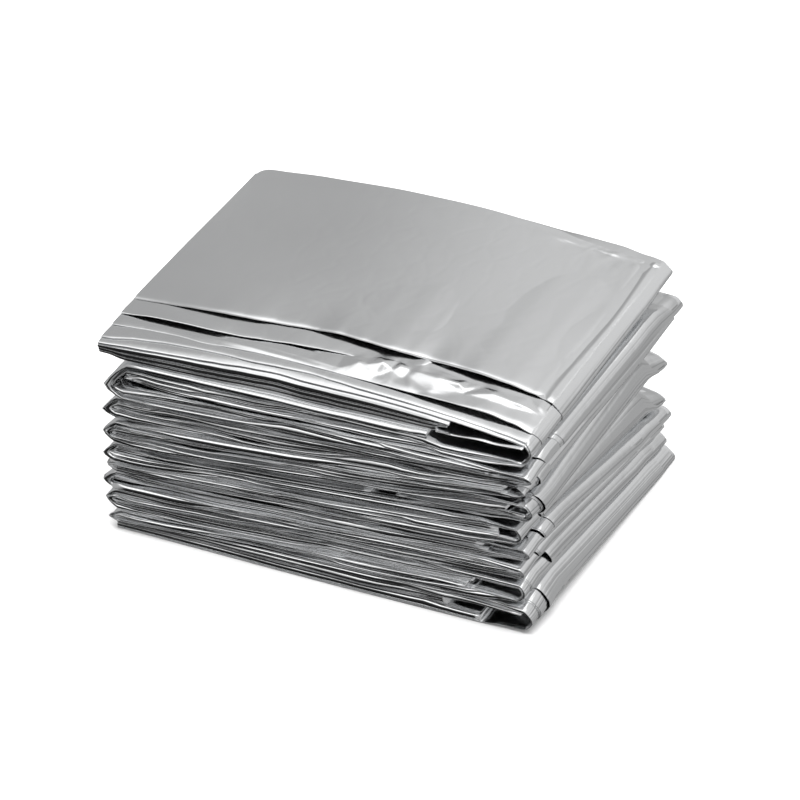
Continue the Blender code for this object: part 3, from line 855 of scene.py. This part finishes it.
def panel_shares(panel):
    """Where the sections lie along a panel: closer together where the film has most to show."""
    start = panel_start(panel, FRONT_EDGE, 0.0)
    fold = RIGHT_FOLDS[panel // 2]
    cuts = [
        cut for row in rows_for(panel, RECESSES) for cut in (row.start, row.end - RAGGED)
        if start < cut < 60.0
    ]
    if panel == 0:
        near = np.array([0.0, 0.3, 0.7, 1.3, 2.2]) / 115.0
        plain, dense = np.linspace(0.03, 0.46, TOP_STATIONS // 4), np.linspace(0.47, 1.0, TOP_STATIONS)
        shares = np.concatenate([near, plain, dense])
        cuts.append(CROSSING_START)
    elif panel == 2:
        shares = np.concatenate([np.linspace(0.0, 0.66, 16), np.linspace(0.68, 1.0, 24)])
    else:
        shares = np.linspace(0.0, 1.0, PANEL_STATIONS)
    sharp = np.array([cut + edge for cut in cuts for edge in (0.0, RAGGED)])
    shares = np.union1d(shares, (sharp - start) / (fold.reach_front - fold.run - start))
    return shares if panel % 2 == 0 else shares[::-1]


def in_place(points):
    """Table millimetres as metres in the shared frame, none of them under the table top."""
    points = np.array(points)
    points[..., 2] = np.maximum(points[..., 2], 0.0)
    return (points - (BOX_MIDDLE[0], BOX_MIDDLE[1], 0.0)) * MM


def flat_places(grid):
    """How far each point lies along the strip and across the sheet, in metres."""
    down = np.linalg.norm(np.diff(grid.mean(1), axis=0, prepend=grid.mean(1)[:1]), axis=-1).cumsum()
    across = np.linalg.norm(np.diff(grid, axis=1, prepend=grid[:, :1]), axis=-1).mean(0).cumsum()
    return np.stack(np.meshgrid(down, across, indexing="ij"), -1).reshape(-1, 2) * MM


def film_mesh(name):
    """The whole folded sheet: a fine grid for the panel on top, joined to a plain one for the rest."""
    fine, fine_names = placed_panel(0, panel_shares(0), fine=True)
    parts = []
    for panel in range(PANELS):
        if panel > 0:
            points, names = placed_panel(panel, panel_shares(panel))
            parts.append(points)
        if panel < PANELS - 1:
            count = RIGHT_BEND_STATIONS if panel % 2 == 0 else LEFT_BEND_STATIONS
            parts.append(placed_bend(panel, np.arange(1, count) / count))
    plain = np.concatenate(parts)
    faces = grid_faces(fine.shape, 0) + grid_faces(plain.shape, fine[..., 0].size)
    last_fine = fine[..., 0].size - fine.shape[1]
    joined = [last_fine + fine_names.index(name) for name in names]
    faces += seam_faces(joined, fine[..., 0].size)
    points = np.concatenate([fine.reshape(-1, 3), plain.reshape(-1, 3)])
    mesh = bpy.data.meshes.new(name)
    mesh.from_pydata(in_place(points).tolist(), [], faces)
    flat = np.concatenate([flat_places(fine), flat_places(plain)])
    corners = np.empty(len(mesh.loops), int)
    mesh.loops.foreach_get("vertex_index", corners)
    mesh.uv_layers.new(name="flat_sheet").data.foreach_set("uv", flat[corners].ravel())
    mesh.shade_smooth()
    mesh.update()
    return mesh


def grid_faces(shape, first):
    index = first + np.arange(shape[0] * shape[1]).reshape(shape[:2])
    quads = np.stack([index[:-1, :-1], index[1:, :-1], index[1:, 1:], index[:-1, 1:]], -1)
    return quads.reshape(-1, 4).tolist()


def seam_faces(joined, first):
    """Faces between a fine row, whose points at joined match the plain row's, and that plain row."""
    faces = []
    for number, (start, end) in enumerate(zip(joined, joined[1:])):
        near, far = first + number, first + number + 1
        middle = (start + end) // 2
        faces += [(index, near, index + 1) for index in range(start, middle)]
        faces.append((middle, near, far))
        faces += [(index, far, index + 1) for index in range(middle, end)]
    return faces


# ---------------- node maths


def maths(operation, reflected=False):
    """An operator of Socket, which adds a Math node for this operation."""

    def combined(self, other):
        values = (other, self) if reflected else (self, other)
        return node(self.tree, "ShaderNodeMath", {"operation": operation}, values)

    return combined


class Socket:
    """A node socket that can be used in Python expressions."""

    def __init__(self, tree, output):
        self.tree = tree
        self.output = output

    __add__, __radd__ = maths("ADD"), maths("ADD", reflected=True)
    __sub__, __rsub__ = maths("SUBTRACT"), maths("SUBTRACT", reflected=True)
    __mul__, __rmul__ = maths("MULTIPLY"), maths("MULTIPLY", reflected=True)

    def parts(self):
        """The X, Y and Z of a vector."""
        parted = node(self.tree, "ShaderNodeSeparateXYZ", {}, (self,)).output.node
        return [Socket(self.tree, output) for output in parted.outputs]

    def clamped(self, low, high):
        """0 at low, 1 at high, and eased between them."""
        limits = {"Value": self, "From Min": low, "From Max": high}
        return node(self.tree, "ShaderNodeMapRange", {"interpolation_type": "SMOOTHSTEP"}, limits)


def node(tree, kind, settings=None, values=(), output=0):
    """A node of this type, with its settings made first and then its sockets' values or links."""
    made = tree.nodes.new(kind)
    for name, setting in (settings or {}).items():
        setattr(made, name, setting)
    pairs = values.items() if isinstance(values, dict) else enumerate(values)
    for name, value in pairs:
        if isinstance(value, Socket):
            tree.links.new(value.output, made.inputs[name])
        else:
            made.inputs[name].default_value = value
    return Socket(tree, made.outputs[output])


# ---------------- what a user can change


class FilmSettings(bpy.types.PropertyGroup):
    """The film and its finish."""

    sheet_width: FloatProperty(
        name="Sheet width", description="Width of the opened blanket",
        default=SHEET_WIDTH * MM, min=0.5, unit="LENGTH",
    )
    sheet_length: FloatProperty(
        name="Sheet length", description="Length of the opened blanket",
        default=SHEET_LENGTH * MM, min=0.5, unit="LENGTH",
    )
    colour: FloatVectorProperty(
        name="Film colour", description="Colour of the metallised face",
        default=(0.86, 0.867, 0.874), subtype="COLOR", min=0.0, max=1.0,
    )
    roughness: FloatProperty(
        name="Roughness", description="Softness of the film's reflections",
        default=0.17, min=0.0, max=1.0, subtype="FACTOR",
    )
    crinkle: FloatProperty(
        name="Crinkle", description="Depth of the fine crinkles",
        default=0.00004, min=0.0, unit="LENGTH",
    )


class StageSettings(bpy.types.PropertyGroup):
    """The floor, the light and the camera."""

    floor_colour: FloatVectorProperty(
        name="Floor colour", description="Colour of the floor", default=(0.86, 0.86, 0.86),
        subtype="COLOR", min=0.0, max=1.0,
    )
    floor_size: FloatProperty(
        name="Floor size", description="Width of the floor", default=12.0, min=1.0, unit="LENGTH"
    )
    azimuth: FloatProperty(
        name="Azimuth", description="Camera's turn about the blanket",
        default=radians(24.53), unit="ROTATION",
    )
    elevation: FloatProperty(
        name="Elevation", description="Camera's height as an angle",
        default=radians(33.45), unit="ROTATION",
    )
    distance: FloatProperty(
        name="Distance", description="From the camera to the blanket",
        default=1.895, min=0.2, unit="LENGTH",
    )
    lens: FloatProperty(
        name="Lens", description="Focal length in millimetres on a 36 mm sensor",
        default=340.6, min=10.0,
    )
    softbox_power: FloatProperty(
        name="Softbox power", description="Power of the overhead softbox",
        default=24.0, min=0.0, unit="POWER",
    )


# ---------------- materials


def started(name):
    """A new material, its tree and its shader."""
    material = bpy.data.materials.new(name)
    material.use_nodes = True
    return material, material.node_tree, material.node_tree.nodes["Principled BSDF"]


def metallised_film(settings):
    material, tree, shader = started("metallised_film")
    place = node(tree, "ShaderNodeTexCoord", output=3)
    noise = {"noise_dimensions": "3D"}
    soft = node(tree, "ShaderNodeTexNoise", noise, {"Vector": place, "Scale": 45.0, "Detail": 3.0})
    fine = node(tree, "ShaderNodeTexNoise", noise, {"Vector": place, "Scale": 500.0, "Detail": 2.0})
    flat = node(tree, "ShaderNodeTexCoord", output=2)
    front_lines, side_lines = (
        node(tree, "ShaderNodeTexNoise", noise, {
            "Vector": node(tree, "ShaderNodeVectorMath", {"operation": "MULTIPLY"}, (flat, stretch)),
            "Scale": 1.0, "Detail": 0.0,
        })
        for stretch in ((16.0, 900.0, 0.0), (2300.0, 9.0, 0.0))
    )
    facing = node(tree, "ShaderNodeNewGeometry", output=1)
    to_side, to_front = (part * part for part in facing.parts()[:2])
    cells = {"Vector": place, "Scale": 160.0}
    creases = node(tree, "ShaderNodeTexVoronoi", {"feature": "DISTANCE_TO_EDGE"}, cells)
    lines = front_lines * to_front * 0.2 + side_lines * to_side * 5.0
    crinkles = fine * (0.1 + to_side * 1.2)
    height = soft * 1.5 + crinkles + lines + (creases * 3.0).clamped(0.0, 0.6) * (0.2 + to_side * 0.6)
    bumped = {"Strength": 1.0, "Distance": settings.crinkle, "Height": height}
    bump = node(tree, "ShaderNodeBump", {}, bumped)
    tree.links.new(bump.output, shader.inputs["Normal"])
    rough = settings.roughness + (soft - 0.5) * 0.12
    tree.links.new(rough.output, shader.inputs["Roughness"])
    # Painted crease shade: on faces that turn to the side, thin streaks get a darker base colour,
    # which stands in for the shade of fine creases along the folds
    painted_crease_shade = side_lines.clamped(0.54, 0.62) * to_side.clamped(0.25, 0.7)
    crease_shade_colour = [0.62 * part for part in settings.colour] + [1.0]
    colours = {0: painted_crease_shade * 0.55, 6: (*settings.colour, 1.0), 7: crease_shade_colour}
    film = node(tree, "ShaderNodeMix", {"data_type": "RGBA"}, colours, output=2)
    tree.links.new(film.output, shader.inputs["Base Color"])
    shader.inputs["Metallic"].default_value = 1.0
    material.diffuse_color = (*settings.colour, 1.0)
    return material


def floor_finish(settings):
    material, _, shader = started("pale_floor")
    shader.inputs["Base Color"].default_value = (*settings.floor_colour, 1.0)
    shader.inputs["Roughness"].default_value = 0.9
    shader.inputs["Specular IOR Level"].default_value = 0.0
    return material


# ---------------- operators


def added(name, data):
    """A new object in the scene."""
    made = bpy.data.objects.new(name, data)
    bpy.context.scene.collection.objects.link(made)
    return made


# The floor lies just under the pack, so that the two faces don't share a plane
FLOOR_DROP = 0.0002
SOFTBOX_SIZE = (1.5, 1.1)
SOFTBOX_PLACE = (0.0, -0.12, 1.2)
SENSOR_WIDTH = 36.0
LENS_SHIFT = (0.01325, -0.00175)
FARTHEST_SEEN = 50.0


class FOIL_OT_film(bpy.types.Operator):
    """Fold the film into the pack"""

    bl_idname = "foil.film"
    bl_label = "Fold the film"

    def execute(self, context):
        settings = context.scene.foil_film
        mesh = film_mesh("folded_film")
        mesh.materials.append(metallised_film(settings))
        film = added("folded_film", mesh)
        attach(film, "root")
        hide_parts("foil_blanket")
        return {"FINISHED"}


class FOIL_OT_stage(bpy.types.Operator):
    """Set the floor, the light and the camera"""

    bl_idname = "foil.stage"
    bl_label = "Set the stage"

    def execute(self, context):
        settings = context.scene.foil_stage
        scene = context.scene
        self.lay_floor(settings)
        self.hang_softbox(settings)
        self.light_the_room(scene)
        self.aim_camera(scene, settings)
        scene.view_settings.view_transform = "Standard"
        return {"FINISHED"}

    def lay_floor(self, settings):
        half = settings.floor_size / 2
        mesh = bpy.data.meshes.new("floor")
        corners = [(-half, -half, 0), (half, -half, 0), (half, half, 0), (-half, half, 0)]
        mesh.from_pydata(corners, [], [(0, 1, 2, 3)])
        mesh.materials.append(floor_finish(settings))
        floor = added("floor", mesh)
        floor.location.z = -FLOOR_DROP
        floor.visible_glossy = False

    def hang_softbox(self, settings):
        lamp = bpy.data.lights.new("softbox", "AREA")
        lamp.shape = "RECTANGLE"
        lamp.size, lamp.size_y = SOFTBOX_SIZE
        lamp.energy = settings.softbox_power
        softbox = added("softbox", lamp)
        softbox.location = SOFTBOX_PLACE
        softbox.visible_glossy = False

    def light_the_room(self, scene):
        world = bpy.data.worlds.new("studio")
        world.use_nodes = True
        scene.world = world
        tree = world.node_tree
        right, ahead, up = node(tree, "ShaderNodeTexCoord", output=0).parts()
        to_one_side = right.clamped(-0.8, -0.5) * (1.0 - right.clamped(0.0, 0.3))
        in_front = (0.0 - ahead).clamped(-0.25, 0.35) * to_one_side
        behind = 0.40 + up.clamped(-0.1, 0.5) * right.clamped(-0.46, -0.16) * 0.29
        before = 0.01 + up.clamped(-0.7, -0.1) * 0.03 + up.clamped(0.0, 0.62) * 0.62
        walls = behind * (1.0 - in_front) + before * in_front
        strength = walls + up.clamped(0.67, 0.81) * (1.0 - up.clamped(0.90, 0.98) * 0.85) * 0.8
        strength = strength * (1.0 - up.clamped(0.92, 0.99) * 0.3)
        background = tree.nodes["Background"]
        background.inputs["Color"].default_value = (1.0, 1.0, 1.0, 1.0)
        tree.links.new(strength.output, background.inputs["Strength"])

    def aim_camera(self, scene, settings):
        lens = bpy.data.cameras.new("camera")
        lens.sensor_width = SENSOR_WIDTH
        lens.lens = settings.lens
        lens.shift_x, lens.shift_y = LENS_SHIFT
        lens.clip_end = FARTHEST_SEEN
        camera = added("camera", lens)
        away = Vector((
            np.sin(settings.azimuth) * np.cos(settings.elevation),
            -np.cos(settings.azimuth) * np.cos(settings.elevation),
            np.sin(settings.elevation),
        ))
        middle = Vector((-BOX_MIDDLE[0] * MM, -BOX_MIDDLE[1] * MM, PACK_HEIGHT / 2 * MM))
        camera.location = middle + away * settings.distance
        camera.rotation_euler = away.to_track_quat("Z", "Y").to_euler()
        scene.camera = camera


class FOIL_PT_sidebar(bpy.types.Panel):
    """The foil blanket's pieces and settings"""

    bl_idname = "FOIL_PT_sidebar"
    bl_label = "Foil Blanket"
    bl_space_type = "VIEW_3D"
    bl_region_type = "UI"
    bl_category = "Foil Blanket"

    def draw(self, context):
        for operator in (FOIL_OT_film, FOIL_OT_stage):
            self.layout.operator(operator.bl_idname)
        for settings in (context.scene.foil_film, context.scene.foil_stage):
            for name in settings.__annotations__:
                self.layout.prop(settings, name)


CLASSES = (FilmSettings, StageSettings, FOIL_OT_film, FOIL_OT_stage, FOIL_PT_sidebar)


def register():
    for cls in CLASSES:
        bpy.utils.register_class(cls)
    bpy.types.Scene.foil_film = PointerProperty(type=FilmSettings)
    bpy.types.Scene.foil_stage = PointerProperty(type=StageSettings)


def unregister():
    del bpy.types.Scene.foil_stage
    del bpy.types.Scene.foil_film
    for cls in reversed(CLASSES):
        bpy.utils.unregister_class(cls)


def main():
    register()
    bpy.ops.foil.stage()
    bpy.ops.foil.film()


if __name__ == "__main__":
    main()
